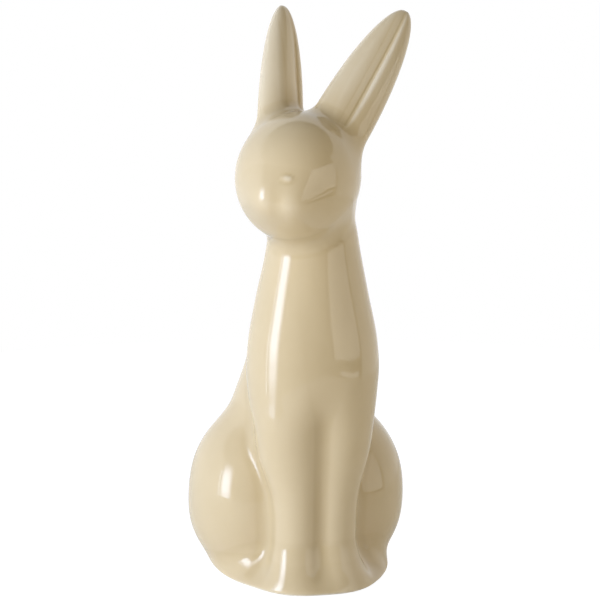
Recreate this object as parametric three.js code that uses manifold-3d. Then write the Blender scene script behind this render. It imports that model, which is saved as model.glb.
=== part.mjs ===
// Seated rabbit figurine in slip-cast, glazed ceramic. Body and head are hollow castings; ears and
// tail are cast apart and stuck on with slip. A soft plug closes the drain hole in the base, and
// four felt dots stand just proud of the foot rim.
// Millimetres, +Z up. The rabbit faces -Y, so +X is its own left.
import * as THREE from "three";
import Module from "manifold-3d";

// Casting and joints
const WALL = 4.5;
const SLIP_GAP = 0.3;
const SLIP_LAYER = 0.6;
const SLIP_MARGIN = 0.8;
const NECK_SLIP = 1;
const NECK_SEAM = 150;

// Forequarters from below the ground up: two round limbs side by side that merge into chest and
// neck. half is the half width, spread sets the two limb centres apart, x and y centre them.
const FOREQUARTERS = [
  { z: -4, half: 18.8, spread: 7.8, x: -2, y: -11.5 },
  { z: 10, half: 18.6, spread: 7.8, x: -2, y: -11.7 },
  { z: 40, half: 19.6, spread: 8.2, x: -1.6, y: -11.2 },
  { z: 60, half: 25, spread: 9.8, x: -1.2, y: -8.2 },
  { z: 74, half: 27, spread: 10, x: -1, y: -7.2 },
  { z: 86, half: 28.8, spread: 7, x: -0.5, y: -3.5 },
  { z: 98, half: 29.6, spread: 5.5, x: 0, y: -1.7 },
  { z: 112, half: 28.5, spread: 5, x: 0, y: -1.5 },
  { z: 130, half: 25, spread: 3.2, x: 0, y: -1 },
  { z: 147, half: 21.5, spread: 2.2, x: 0, y: -2 },
  { z: 163, half: 18.8, spread: 1.2, x: -0.5, y: -3 },
  { z: 174, half: 16.5, spread: 0.6, x: -2.4, y: -4.5 },
  { z: 182, half: 9, spread: 0.3, x: -4.5, y: -6 },
];

// Hindquarters and back: an oval at each height, from y = -front to y = back.
const HINDQUARTERS = [
  { z: -4, half: 34, front: 8, back: 65 },
  { z: 20, half: 44.5, front: 8, back: 71 },
  { z: 45, half: 38, front: 7, back: 69 },
  { z: 70, half: 31, front: 4, back: 59 },
  { z: 95, half: 24.5, front: 4, back: 45.5 },
  { z: 120, half: 20, front: 4, back: 34 },
  { z: 145, half: 16.5, front: 4, back: 25.5 },
  { z: 166, half: 14, front: 4, back: 20 },
  { z: 182, half: 8, front: 4, back: 10 },
];

// Egg-shaped forms of the lower body, mirrored to the other side. The paws are mirrored about a line
// that lies a little to the rabbit's right, under the legs.
const HAUNCH = { centre: [25.5, 27.4, 35], radii: [23.2, 31, 33.5] };
const HIND_FOOT = { centre: [21, 14, 3], radii: [13.4, 20, 15] };
const PAW = { centre: [8.8, -13.2, 1], radii: [12.4, 13.2, 16] };
const PAW_MIDDLE = -1.5;
const SKIRT = { centre: [0, 17, 0], radii: [37.4, 47, 8] };

// How far the forequarters melt into the haunches at each height
const CREASE = [
  { z: 0, melt: 7 },
  { z: 30, melt: 8 },
  { z: 50, melt: 7 },
  { z: 68, melt: 10 },
  { z: 95, melt: 5 },
];

// Middle line that the body's sections are drawn around, and where their spacing changes.
const CHEST_TOP = 94;
const FEET_TOP = 20;
const SPINE = [
  { z: 0, y: 20 },
  { z: 45, y: 20 },
  { z: 95, y: 12 },
  { z: 120, y: 5 },
  { z: 150, y: -1 },
];

// Base
const FOOT_EDGE = 2.5;
const FOOT_RIM = 4;
const RECESS = 1.2;
const FLOOR = 6;
const FLOOR_FILLET = 3;
const DRAIN_HOLE = 20;
const ELBOW = 66;
const LIMB_CLOSING = 0.3;

// Head, turned to the rabbit's right and tipped a little to its left. Face sizes are measured from
// the middle of the skull.
const HEAD = { x: -8.7, y: -9.5, rise: 34.6, turn: -30, tip: 5 };
const SKULL = [27.3, 30.9, 28.6];
const CHEEK = { side: 4.6, setback: 11, drop: 4.8, radii: [8.5, 12.3, 8] };
const NOSE = { side: 3, setback: 1, rise: 4.9, radii: [1.5, 0.8, 0.9] };

// Ears: half eggs with a shallow fold down the front. Its crease lies at crease across the ear, depth
// below the front, between walls that rise at rightWall and leftWall degrees. roll rounds the rim on
// the rabbit's right, and turn swings the front towards +X.
const EAR_SEAT = { side: 12.7, back: 10.3, up: 19.8 };
const EAR_LEAN = 35;
const EAR_THICKNESS = 16;
const EAR_FOLD = { middle: 0.5, reach: 0.48 };
const EARS = [
  {
    name: "left_ear", side: 1, splay: 19, turn: 0, length: 65.5, width: 27.5,
    crease: 3.5, depth: 2.2, rightWall: 27, leftWall: 46, roll: 3,
  },
  {
    name: "right_ear", side: -1, splay: 14.5, turn: 54, length: 59, width: 22,
    crease: 5.5, depth: 3.2, rightWall: 30, leftWall: 18, roll: 5,
  },
];
const EAR_ROOT = 8;
const EAR_SKIRT = 7;
const EAR_TOP_RING = 0.985;
const EAR_DIP = 80;

// Tail
const TAIL = { height: 23, proud: 2, radii: [10.5, 9, 11.5] };
const TAIL_RISE = 80;
const TAIL_BLANK_TOP = 70;

// Plug and felt dots
const PLUG_CLEARANCE = 0.3;
const PLUG_FLANGE = { overlap: 3, thickness: 0.8 };
const PLUG_REACH = 2;
const FELT = { diameter: 12, proud: 0.3, chamfer: 0.3 };
const FELT_SEATS = [
  { name: "felt_pad_front_left", x: 14, y: -5 },
  { name: "felt_pad_front_right", x: -14, y: -5 },
  { name: "felt_pad_rear_left", x: 18, y: 42 },
  { name: "felt_pad_rear_right", x: -18, y: 42 },
];

// How far each pair of forms melts together
const BLEND = {
  limbs: 4,
  haunch: 10,
  foot: 7,
  betweenPaws: 5,
  paws: 8,
  hollow: 5,
  skirt: 8,
  neck: 7,
  cheeks: 2.5,
  face: 8,
  nose: 1.8,
  ear: 6,
  rim: 1.2,
  rimGain: 0.5,
  fold: 0.6,
  tail: 3,
};

// Facet counts, and how much closer together the body's facets lie at the front than at the back
const BODY_SIDES = 52;
const BODY_ROWS = { neck: 7, chest: 13, feet: 7, inside: 9 };
const FRONT_BIAS = 0.4;
const HEAD_SIDES = 46;
const HEAD_ROWS = { outside: 24, inside: 9 };
const EAR_SIDES = 28;
const EAR_ROWS = { root: 11, leaf: 12 };
const TAIL_SIDES = 20;
const TAIL_ROWS = 13;
const ROUND_SIDES = 28;

// Surface search along a ray
const SEARCH_STEP = 1.5;
const SEARCH_END = 120;
const HALVINGS = 24;

const GLAZE = new THREE.MeshStandardMaterial({ color: 0xcdbd9c, roughness: 0.08, metalness: 0 });
const SLIP = new THREE.MeshStandardMaterial({ color: 0xdcd0b8, roughness: 0.85, metalness: 0 });
const SOFT_PLUG = new THREE.MeshStandardMaterial({ color: 0xe6e1d6, roughness: 0.5, metalness: 0 });
const WOOL_FELT = new THREE.MeshStandardMaterial({ color: 0x8b7d68, roughness: 1, metalness: 0 });

const wasm = await Module();
wasm.setup();

const radians = THREE.MathUtils.degToRad;

// Frames: the head on the body, each ear on the head.
const figure = new THREE.Group();
const headFrame = new THREE.Group();
headFrame.position.set(HEAD.x, HEAD.y, NECK_SEAM + HEAD.rise);
headFrame.rotation.set(0, radians(HEAD.tip), radians(HEAD.turn), "ZYX");
figure.add(headFrame);
const earFrames = EARS.map((ear) => {
  const frame = new THREE.Group();
  frame.position.set(ear.side * EAR_SEAT.side, EAR_SEAT.back, EAR_SEAT.up);
  frame.rotation.set(radians(-EAR_LEAN), radians(ear.side * ear.splay), radians(ear.turn), "YXZ");
  headFrame.add(frame);
  return frame;
});
figure.updateMatrixWorld(true);

// A smooth curve through one column of a list of stations, read by height.
function curve(stations, key) {
  const slope = stations.map((_, i) => {
    const below = stations[Math.max(i - 1, 0)];
    const above = stations[Math.min(i + 1, stations.length - 1)];
    return (above[key] - below[key]) / (above.z - below.z);
  });
  return (height) => {
    const z = THREE.MathUtils.clamp(height, stations[0].z, stations.at(-1).z);
    let i = 0;
    while (i < stations.length - 2 && z > stations[i + 1].z) i += 1;
    const [a, b] = [stations[i], stations[i + 1]];
    const h = b.z - a.z;
    const t = (z - a.z) / h;
    const s = 1 - t;
    const values = s * s * (1 + 2 * t) * a[key] + t * t * (1 + 2 * s) * b[key];
    return values + s * t * h * (s * slope[i] - t * slope[i + 1]);
  };
}

const fore = Object.fromEntries(["half", "spread", "x", "y"].map((key) => [key, curve(FOREQUARTERS, key)]));
const hind = Object.fromEntries(["half", "front", "back"].map((key) => [key, curve(HINDQUARTERS, key)]));
const creaseMelt = curve(CREASE, "melt");
const spineY = curve(SPINE, "y");

// Union of two distances that melts over a length k.
function melt(a, b, k) {
  const h = THREE.MathUtils.clamp(0.5 + (0.5 * (b - a)) / k, 0, 1);
  return b + (a - b) * h - k * h * (1 - h);
}

// Near-distance to an egg with its middle at the origin; negative inside.
function egg(x, y, z, [rx, ry, rz]) {
  const scaled = Math.hypot(x / rx, y / ry, z / rz);
  const gradient = Math.hypot(x / rx ** 2, y / ry ** 2, z / rz ** 2);
  return gradient > 0 ? (scaled * (scaled - 1)) / gradient : -Math.min(rx, ry, rz);
}

function mirroredEgg(p, { centre: [x, y, z], radii }) {
  return egg(Math.abs(p.x) - x, p.y - y, p.z - z, radii);
}

function forequarters(p) {
  const spread = fore.spread(p.z);
  const radius = fore.half(p.z) - spread;
  const x = p.x - fore.x(p.z);
  const y = p.y - fore.y(p.z);
  const limbs = melt(Math.hypot(x - spread, y) - radius, Math.hypot(x + spread, y) - radius, BLEND.limbs);
  return Math.max(limbs, p.z - FOREQUARTERS.at(-1).z);
}

function hindquarters(p) {
  const front = hind.front(p.z);
  const back = hind.back(p.z);
  const oval = egg(p.x, p.y - (back - front) / 2, 0, [hind.half(p.z), (back + front) / 2, 1]);
  return Math.max(oval, p.z - HINDQUARTERS.at(-1).z);
}

function trunk(p) {
  return melt(hindquarters(p), mirroredEgg(p, HAUNCH), BLEND.haunch);
}

function bodyForm(p) {
  const rear = melt(trunk(p), mirroredEgg(p, HIND_FOOT), BLEND.foot);
  const [side, y, z] = PAW.centre;
  const paw = (x) => egg(p.x - PAW_MIDDLE - x, p.y - y, p.z - z, PAW.radii);
  const paws = melt(paw(side), paw(-side), BLEND.betweenPaws);
  const front = melt(forequarters(p), paws, BLEND.paws);
  return melt(melt(rear, front, creaseMelt(p.z)), mirroredEgg(p, SKIRT), BLEND.skirt);
}

// The drained hollow: the limbs below the elbow fill up and stay solid.
function hollowForm(p) {
  return melt(trunk(p), forequarters(p) + LIMB_CLOSING * Math.max(ELBOW - p.z, 0), BLEND.hollow);
}

function headForm(p) {
  const q = headFrame.worldToLocal(p.clone());
  const face = -SKULL[1];
  const cheek = (side) => {
    const x = q.x - side * CHEEK.side;
    return egg(x, q.y - face - CHEEK.setback, q.z + CHEEK.drop, CHEEK.radii);
  };
  const muzzle = melt(egg(q.x, q.y, q.z, SKULL), melt(cheek(1), cheek(-1), BLEND.cheeks), BLEND.face);
  const nose = egg(q.x - NOSE.side, q.y - face - NOSE.setback, q.z - NOSE.rise, NOSE.radii);
  return melt(muzzle, nose, BLEND.nose);
}

function neckAndHead(p) {
  return melt(bodyForm(p), headForm(p), BLEND.neck);
}

// One ear in its own frame, with the fold cut into its front.
function earForm(p, ear, frame) {
  const q = frame.worldToLocal(p.clone());
  const leaf = egg(q.x, q.y, q.z, [ear.width / 2, EAR_THICKNESS / 2, ear.length]);
  const along = q.z / ear.length;
  const narrowing = (share) => Math.sqrt(Math.max(1 - share ** 2, 0));
  const taper = narrowing(along);
  const fade = narrowing((along - EAR_FOLD.middle) / EAR_FOLD.reach);
  const across = q.x - ear.crease * taper;
  const up = -q.y - (EAR_THICKNESS / 2 - ear.depth * fade) * taper;
  const wall = (lean, inward) => up * Math.cos(radians(lean)) + inward * Math.sin(radians(lean));
  const fold = melt(wall(ear.rightWall, across), wall(ear.leftWall, -across), BLEND.fold);
  const rim = THREE.MathUtils.clamp(BLEND.rim - BLEND.rimGain * across, BLEND.rim, ear.roll);
  return -melt(-leaf, -fold, rim);
}

// Distance along a ray from inside a form to its surface grown by offset.
function reach(form, origin, direction, offset) {
  const at = (r) => form(origin.clone().addScaledVector(direction, r)) - offset;
  let far = SEARCH_STEP;
  while (far < SEARCH_END && at(far) < 0) far += SEARCH_STEP;
  let near = far - SEARCH_STEP;
  for (let i = 0; i < HALVINGS; i += 1) {
    const middle = (near + far) / 2;
    if (at(middle) < 0) near = middle;
    else far = middle;
  }
  return (near + far) / 2;
}

function around(sides, make) {
  return Array.from({ length: sides }, (_, i) => make((2 * Math.PI * i) / sides));
}

function level(angle) {
  const turn = angle - FRONT_BIAS * Math.cos(angle);
  return new THREE.Vector3(Math.cos(turn), Math.sin(turn), 0);
}

function spaced(count, from, to) {
  return Array.from({ length: count }, (_, i) => from + ((to - from) * i) / (count - 1));
}

// A level ring of points on a form around the spine, drawn in by inset.
function bodyRing(form, z, offset = 0, inset = 0, sides = BODY_SIDES) {
  const origin = new THREE.Vector3(0, spineY(z), z);
  return around(sides, (angle) => {
    const out = level(angle);
    return origin.clone().addScaledVector(out, reach(form, origin, out, offset) - inset);
  });
}

function roundRing(radius, z) {
  const origin = new THREE.Vector3(0, spineY(0), z);
  return around(BODY_SIDES, (angle) => origin.clone().addScaledVector(level(angle), radius));
}

// A closed mesh from rings of points, each end closed on a single point or end joined to start.
function ringMesh(rings, { start, end } = {}) {
  const sides = rings[0].length;
  const points = rings.flat();
  const index = [];
  const quad = (a, b, c, d) => {
    const short = points[a].distanceTo(points[c]) < points[b].distanceTo(points[d]);
    index.push(...(short ? [a, b, c, a, c, d] : [a, b, d, b, c, d]));
  };
  const bands = start ? rings.length - 1 : rings.length;
  for (let row = 0; row < bands; row += 1) {
    const next = (row + 1) % rings.length;
    for (let i = 0; i < sides; i += 1) {
      const j = (i + 1) % sides;
      quad(row * sides + i, row * sides + j, next * sides + j, next * sides + i);
    }
  }
  if (start) {
    const last = (rings.length - 1) * sides;
    points.push(start, end);
    for (let i = 0; i < sides; i += 1) {
      const j = (i + 1) % sides;
      index.push(points.length - 2, j, i, points.length - 1, last + i, last + j);
    }
  }
  const geometry = new THREE.BufferGeometry().setFromPoints(points);
  geometry.setIndex(facingOut(points, index));
  return geometry;
}

function facingOut(points, index) {
  let volume = 0;
  for (let i = 0; i < index.length; i += 3) {
    const [a, b, c] = [points[index[i]], points[index[i + 1]], points[index[i + 2]]];
    volume += a.dot(b.clone().cross(c));
  }
  if (volume < 0) index.reverse();
  return index;
}

function solid(geometry) {
  const vertProperties = new Float32Array(geometry.getAttribute("position").array);
  const triVerts = new Uint32Array(geometry.getIndex().array);
  return new wasm.Manifold(new wasm.Mesh({ numProp: 3, vertProperties, triVerts }));
}

function meshed(body) {
  const { vertProperties, triVerts } = body.getMesh();
  const geometry = new THREE.BufferGeometry();
  geometry.setAttribute("position", new THREE.BufferAttribute(vertProperties, 3));
  geometry.setIndex(new THREE.BufferAttribute(triVerts, 1));
  return geometry;
}

// Body casting: skin down to the rounded foot edge, recessed underside, drain hole, hollow inside.
function bodyCasting() {
  const skin = [
    ...spaced(BODY_ROWS.neck, NECK_SEAM, CHEST_TOP).slice(0, -1),
    ...spaced(BODY_ROWS.chest, CHEST_TOP, FEET_TOP).slice(0, -1),
    ...spaced(BODY_ROWS.feet, FEET_TOP, FOOT_EDGE),
  ];
  const edge = [30, 60, 90].map(radians).map((a) => ({
    z: FOOT_EDGE * (1 - Math.sin(a)),
    inset: FOOT_EDGE * (1 - Math.cos(a)),
  }));
  const rim = FOOT_EDGE + FOOT_RIM;
  const recess = bodyRing(bodyForm, 0, 0, rim);
  recess.forEach((point) => point.setZ(RECESS));
  const floor = bodyRing(hollowForm, FLOOR + FLOOR_FILLET, -WALL, FLOOR_FILLET);
  floor.forEach((point) => point.setZ(FLOOR));
  const inside = spaced(BODY_ROWS.inside, FLOOR + FLOOR_FILLET, NECK_SEAM);
  return ringMesh([
    ...skin.map((z) => bodyRing(neckAndHead, z)),
    ...edge.map(({ z, inset }) => bodyRing(bodyForm, z, 0, inset)),
    bodyRing(bodyForm, 0, 0, rim),
    recess,
    roundRing(DRAIN_HOLE / 2, RECESS),
    roundRing(DRAIN_HOLE / 2, FLOOR),
    floor,
    ...inside.map((z) => bodyRing(hollowForm, z, -WALL)),
  ]);
}

// Rings from the neck opening up over the head to just short of the crown.
function headRings(offset, rows) {
  const middle = headFrame.position;
  const crown = new THREE.Vector3(0, 0, 1).transformDirection(headFrame.matrixWorld);
  const opening = bodyRing(neckAndHead, NECK_SEAM + NECK_SLIP, offset, 0, HEAD_SIDES);
  const rings = spaced(rows, 0, 1 - 1 / rows).slice(1).map((share) =>
    opening.map((point) => {
      const start = point.clone().sub(middle).normalize();
      const turn = new THREE.Quaternion().setFromUnitVectors(start, crown);
      const out = start.clone().applyQuaternion(new THREE.Quaternion().slerp(turn, share));
      return middle.clone().addScaledVector(out, reach(neckAndHead, middle, out, offset));
    }));
  const top = middle.clone().addScaledVector(crown, reach(neckAndHead, middle, crown, offset));
  return { rings: [opening, ...rings], top };
}

function headCasting() {
  const outer = headRings(0, HEAD_ROWS.outside);
  const inner = headRings(-WALL, HEAD_ROWS.inside);
  return ringMesh([...outer.rings.reverse(), ...inner.rings], { start: outer.top, end: inner.top });
}

// A solid head of the same outline, grown by offset, to cut what sits on it.
function headBlank(offset) {
  const { rings, top } = headRings(offset, HEAD_ROWS.outside);
  const bottom = new THREE.Vector3(0, spineY(NECK_SEAM), NECK_SEAM + NECK_SLIP);
  return solid(ringMesh(rings, { start: bottom, end: top }));
}

// An ear with its flared root, reaching into the head, drawn in by inset.
function earBlank(ear, frame, inset) {
  const bound = [ear.width / 2 + EAR_SKIRT, EAR_THICKNESS / 2 + EAR_SKIRT, ear.length + EAR_SKIRT];
  const form = (p) => {
    const q = frame.worldToLocal(p.clone());
    const root = Math.max(egg(q.x, q.y, q.z, bound), -q.z - EAR_ROOT);
    return Math.max(melt(earForm(p, ear, frame), headForm(p), BLEND.ear) + inset, root);
  };
  const ray = (height, direction) => {
    const origin = frame.localToWorld(new THREE.Vector3(0, 0, height));
    const out = direction.clone().transformDirection(frame.matrixWorld);
    return origin.clone().addScaledVector(out, reach(form, origin, out, 0));
  };
  const rise = EAR_TOP_RING * ear.length - EAR_ROOT;
  const heights = spaced(EAR_ROWS.leaf, 0, Math.PI / 2).map((share) => EAR_ROOT + rise * Math.sin(share));
  const dips = spaced(EAR_ROWS.root, EAR_DIP, EAR_DIP / EAR_ROWS.root).map(radians);
  const slanted = (dip) => (angle) => new THREE.Vector3(Math.cos(angle), Math.sin(angle), -Math.tan(dip));
  const rings = [
    ...dips.map((dip) => around(EAR_SIDES, (angle) => ray(EAR_ROOT, slanted(dip)(angle)))),
    ...heights.map((height) => around(EAR_SIDES, (angle) => ray(height, slanted(0)(angle)))),
  ];
  const up = new THREE.Vector3(0, 0, 1);
  const start = ray(EAR_ROOT, up.clone().negate());
  return solid(ringMesh(rings, { start, end: ray(heights.at(-1), up) }));
}

function bodyBlank(offset) {
  const heights = spaced(BODY_ROWS.chest, FOOT_EDGE, TAIL_BLANK_TOP);
  const rings = heights.map((z) => bodyRing(bodyForm, z, offset));
  const cap = (z) => new THREE.Vector3(0, spineY(z), z);
  return solid(ringMesh(rings, { start: cap(heights[0]), end: cap(heights.at(-1)) }));
}

function tailBlank(inset) {
  const middle = new THREE.Vector3(0, hind.back(TAIL.height) + TAIL.proud, TAIL.height);
  const form = (p) => {
    const q = p.clone().sub(middle);
    const ball = egg(q.x, q.y, q.z, TAIL.radii);
    const bound = egg(q.x, q.y, q.z, TAIL.radii.map((radius) => radius + BLEND.tail));
    return Math.max(melt(ball, bodyForm(p), BLEND.tail) + inset, bound);
  };
  const ray = (direction) => middle.clone().addScaledVector(direction, reach(form, middle, direction, 0));
  const rings = spaced(TAIL_ROWS, -TAIL_RISE, TAIL_RISE).map(radians).map((rise) =>
    around(TAIL_SIDES, (angle) =>
      ray(new THREE.Vector3(Math.cos(angle), Math.tan(rise), Math.sin(angle)).normalize())));
  const back = new THREE.Vector3(0, 1, 0);
  return solid(ringMesh(rings, { start: ray(back.clone().negate()), end: ray(back) }));
}

// The fired slip that holds a piece, and the piece cut to sit on it.
function luted(blank, seat) {
  const top = SLIP_GAP + SLIP_LAYER;
  return {
    piece: meshed(blank(0).subtract(seat(top + SLIP_GAP))),
    slip: meshed(blank(SLIP_MARGIN).intersect(seat(top)).subtract(seat(SLIP_GAP))),
  };
}

function neckLute() {
  const low = NECK_SEAM;
  const high = NECK_SEAM + NECK_SLIP;
  const ring = (z, offset, inset) => bodyRing(offset < 0 ? hollowForm : neckAndHead, z, offset, inset);
  return ringMesh([
    ring(low, 0, SLIP_MARGIN),
    ring(high, 0, SLIP_MARGIN),
    ring(high, -WALL, -SLIP_MARGIN),
    ring(low, -WALL, -SLIP_MARGIN),
  ]);
}

// A turned solid from (radius, height) points that start and end on the axis.
function turned(profile) {
  const geometry = new THREE.LatheGeometry(profile.map(([r, z]) => new THREE.Vector2(r, z)), ROUND_SIDES);
  return geometry.rotateX(Math.PI / 2);
}

function drainPlug() {
  const stem = DRAIN_HOLE / 2 - PLUG_CLEARANCE;
  const flange = DRAIN_HOLE / 2 + PLUG_FLANGE.overlap;
  const seat = RECESS;
  return turned([
    [0, seat - PLUG_FLANGE.thickness],
    [flange, seat - PLUG_FLANGE.thickness],
    [flange, seat],
    [stem, seat],
    [stem, FLOOR + PLUG_REACH],
    [0, FLOOR + PLUG_REACH],
  ]);
}

function feltDot() {
  const radius = FELT.diameter / 2;
  return turned([
    [0, -FELT.proud],
    [radius - FELT.chamfer, -FELT.proud],
    [radius, -FELT.proud + FELT.chamfer],
    [radius, RECESS],
    [0, RECESS],
  ]);
}

function place(parent, name, geometry, material, x = 0, y = 0) {
  const mesh = new THREE.Mesh(geometry, material.clone());
  mesh.name = name;
  mesh.position.set(x, y, 0);
  figure.add(mesh);
  parent.attach(mesh);
}

place(figure, "body_casting", bodyCasting(), GLAZE);
place(headFrame, "head_casting", headCasting(), GLAZE);
place(figure, "neck_lute", neckLute(), SLIP);
EARS.forEach((ear, i) => {
  const { piece, slip } = luted((inset) => earBlank(ear, earFrames[i], inset), headBlank);
  place(earFrames[i], ear.name, piece, GLAZE);
  place(earFrames[i], `${ear.name}_lute`, slip, SLIP);
});
const tail = luted(tailBlank, bodyBlank);
place(figure, "tail", tail.piece, GLAZE);
place(figure, "tail_lute", tail.slip, SLIP);
place(figure, "drain_plug", drainPlug(), SOFT_PLUG, 0, spineY(0));
FELT_SEATS.forEach(({ name, x, y }) => place(figure, name, feltDot(), WOOL_FELT, x, y));

// The origin is under the middle of the figure, on the surface that it stands on.
const box = new THREE.Box3().setFromObject(figure, true);
const middle = box.getCenter(new THREE.Vector3());
figure.position.set(-middle.x, -middle.y, -box.min.z);

export default figure;
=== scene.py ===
# %% [markdown]
# # A glazed rabbit
# The object is a seated rabbit in slip-cast earthenware under a glossy beige glaze. Body and head
# are hollow castings, ears and tail are stuck on with slip, and one coat of glaze covers them all.
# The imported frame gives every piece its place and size. This script builds finer pieces in that
# place, gives each its material, and lights and frames the figure as a product photograph does.

# %% Load the frame
import math

import bpy
import numpy as np
from mathutils import Matrix, Vector


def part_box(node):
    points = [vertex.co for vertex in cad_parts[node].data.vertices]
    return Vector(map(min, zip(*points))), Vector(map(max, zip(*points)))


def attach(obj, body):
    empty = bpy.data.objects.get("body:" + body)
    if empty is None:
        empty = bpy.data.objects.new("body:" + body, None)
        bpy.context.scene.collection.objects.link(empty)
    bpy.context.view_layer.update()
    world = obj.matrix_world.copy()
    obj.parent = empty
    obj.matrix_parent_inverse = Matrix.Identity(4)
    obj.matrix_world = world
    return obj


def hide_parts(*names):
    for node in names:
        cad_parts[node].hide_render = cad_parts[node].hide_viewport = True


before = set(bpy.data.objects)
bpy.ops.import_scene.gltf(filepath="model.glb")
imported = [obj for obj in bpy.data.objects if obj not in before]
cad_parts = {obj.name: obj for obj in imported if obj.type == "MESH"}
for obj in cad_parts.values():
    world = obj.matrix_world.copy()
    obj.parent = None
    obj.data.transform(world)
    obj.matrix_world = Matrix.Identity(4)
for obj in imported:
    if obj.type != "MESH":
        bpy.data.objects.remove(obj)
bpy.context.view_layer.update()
print("nodes in the frame:", sorted(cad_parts))

# %% [markdown]
# ## Where the figure stands
# The forms below are written in millimetres around an origin on the ground, just behind the front
# paws. The drain hole lies 20 mm behind that origin and the foot rim stands on its ground, so
# those two nodes of the frame show where the origin is. Its place could be typed in, but reading
# it from the frame keeps the script right if the frame moves.

# %% Find the figure's origin in the frame
MM = 0.001
SPINE_FOOT = 20
hole_low, hole_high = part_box("drain_plug")
rim_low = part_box("body_casting")[0]
ORIGIN = np.array([
    (hole_low.x + hole_high.x) / 2,
    (hole_low.y + hole_high.y) / 2 - SPINE_FOOT * MM,
    rim_low.z,
])


def to_frame(points):
    return np.asarray(points) * MM + ORIGIN


print("figure origin in the frame, mm:", np.round(ORIGIN / MM, 3))

# %% [markdown]
# ## Forms that melt into each other
# A slip-cast animal has no edges: limbs, haunches and neck flow into each other. Sculpting or
# subdividing a cage could make that, but the flow is easier to steer with distance fields. Each
# form answers how far a point lies outside it, and a smooth union melts two forms over a chosen
# length. All functions take arrays of points, so one call measures thousands of them.

# %% Tools for the forms
TINY = 1e-12


def curve(stations, column):
    z, value = np.array(stations, float)[:, [0, column]].T
    below = np.maximum(np.arange(len(z)) - 1, 0)
    above = np.minimum(np.arange(len(z)) + 1, len(z) - 1)
    rate = (value[above] - value[below]) / (z[above] - z[below])

    def at(height):
        h = np.clip(height, z[0], z[-1])
        i = np.clip(np.searchsorted(z, h) - 1, 0, len(z) - 2)
        span = z[i + 1] - z[i]
        t = (h - z[i]) / span
        s = 1 - t
        ends = s * s * (1 + 2 * t) * value[i] + t * t * (1 + 2 * s) * value[i + 1]
        return ends + s * t * span * (s * rate[i] - t * rate[i + 1])

    return at


def melt(a, b, length):
    share = np.clip(0.5 + 0.5 * (b - a) / length, 0, 1)
    return b + (a - b) * share - length * share * (1 - share)


def egg(points, radii):
    radii = np.asarray(radii, float)
    scaled = np.linalg.norm(points / radii, axis=-1)
    gradient = np.linalg.norm(points / radii**2, axis=-1)
    return scaled * (scaled - 1) / np.maximum(gradient, TINY)


def mirrored_egg(points, centre, radii):
    both_sides = points.copy()
    both_sides[:, 0] = np.abs(points[:, 0])
    return egg(both_sides - centre, radii)


def egg_pair(points, centre, radii, length, middle=0):
    x, y, z = centre
    left, right = [egg(points - (middle + side * x, y, z), radii) for side in (1, -1)]
    return melt(left, right, length)


print("2 mm from a form and on another, melted over 4 mm:", melt(0.0, 2.0, 4.0))

# %% [markdown]
# ## Body
# The forequarters are two round limbs that merge upwards into the chest and neck. The
# hindquarters are an oval at every height. Haunches, hind feet and paws are eggs, and a low
# skirt gathers them into one base. A body could be sculpted by eye, but stations at known heights
# follow the photograph's outline and can be corrected one by one.

# %% Forms of the body
# Columns: height, half width, spread of the two limbs, x and y of their middle
FOREQUARTERS = [
    (-4, 18.8, 7.8, -2, -11.5), (10, 18.6, 7.8, -2, -11.7), (40, 19.6, 8.2, -1.6, -11.2),
    (60, 25, 9.8, -1.2, -8.2), (74, 27, 10, -1, -7.2), (86, 28.8, 7, -0.5, -3.5),
    (98, 29.6, 5.5, 0, -1.7), (112, 28.5, 5, 0, -1.5), (130, 25, 3.2, 0, -1),
    (147, 21.5, 2.2, 0, -2), (163, 18.8, 1.2, -0.5, -3), (174, 16.5, 0.6, -2.4, -4.5),
    (182, 9, 0.3, -4.5, -6),
]
# Columns: height, half width, reach to the front, reach to the back
HINDQUARTERS = [
    (-4, 34, 8, 65), (20, 44.5, 8, 71), (45, 38, 7, 69), (70, 31, 4, 59), (95, 24.5, 4, 45.5),
    (120, 20, 4, 34), (145, 16.5, 4, 25.5), (166, 14, 4, 20), (182, 8, 4, 10),
]
BODY_TOP = 182
# Columns: centre, radii
HAUNCH = ((25.5, 27.4, 35), (23.2, 31, 33.5))
HIND_FOOT = ((21, 14, 3), (13.4, 20, 15))
PAW = ((8.8, -13.2, 1), (12.4, 13.2, 16))
SKIRT = ((0, 17, 0), (37.4, 47, 8))
PAW_MIDDLE = -1.5
# Columns: height, how far the forequarters melt into the haunches there
CREASE = [(0, 7), (30, 8), (50, 7), (68, 10), (95, 5)]
LIMB_MELT = 4
HAUNCH_MELT = 10
FOOT_MELT = 7
BETWEEN_PAWS_MELT = 5
PAW_MELT = 8
SKIRT_MELT = 8
limb_half, limb_spread, limb_x, limb_y = [curve(FOREQUARTERS, c) for c in (1, 2, 3, 4)]
rump_half, rump_front, rump_back = [curve(HINDQUARTERS, c) for c in (1, 2, 3)]
crease_melt = curve(CREASE, 1)


def forequarters(p):
    z = p[:, 2]
    spread = limb_spread(z)
    radius = limb_half(z) - spread
    x, y = p[:, 0] - limb_x(z), p[:, 1] - limb_y(z)
    left, right = np.hypot(x - spread, y) - radius, np.hypot(x + spread, y) - radius
    return np.maximum(melt(left, right, LIMB_MELT), z - BODY_TOP)


def hindquarters(p):
    z = p[:, 2]
    front, back = rump_front(z), rump_back(z)
    flat = np.stack([p[:, 0], p[:, 1] - (back - front) / 2, 0 * z], axis=1)
    oval = egg(flat, np.stack([rump_half(z), (back + front) / 2, 0 * z + 1], axis=1))
    return np.maximum(oval, z - BODY_TOP)


def trunk(p):
    return melt(hindquarters(p), mirrored_egg(p, *HAUNCH), HAUNCH_MELT)


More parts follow.
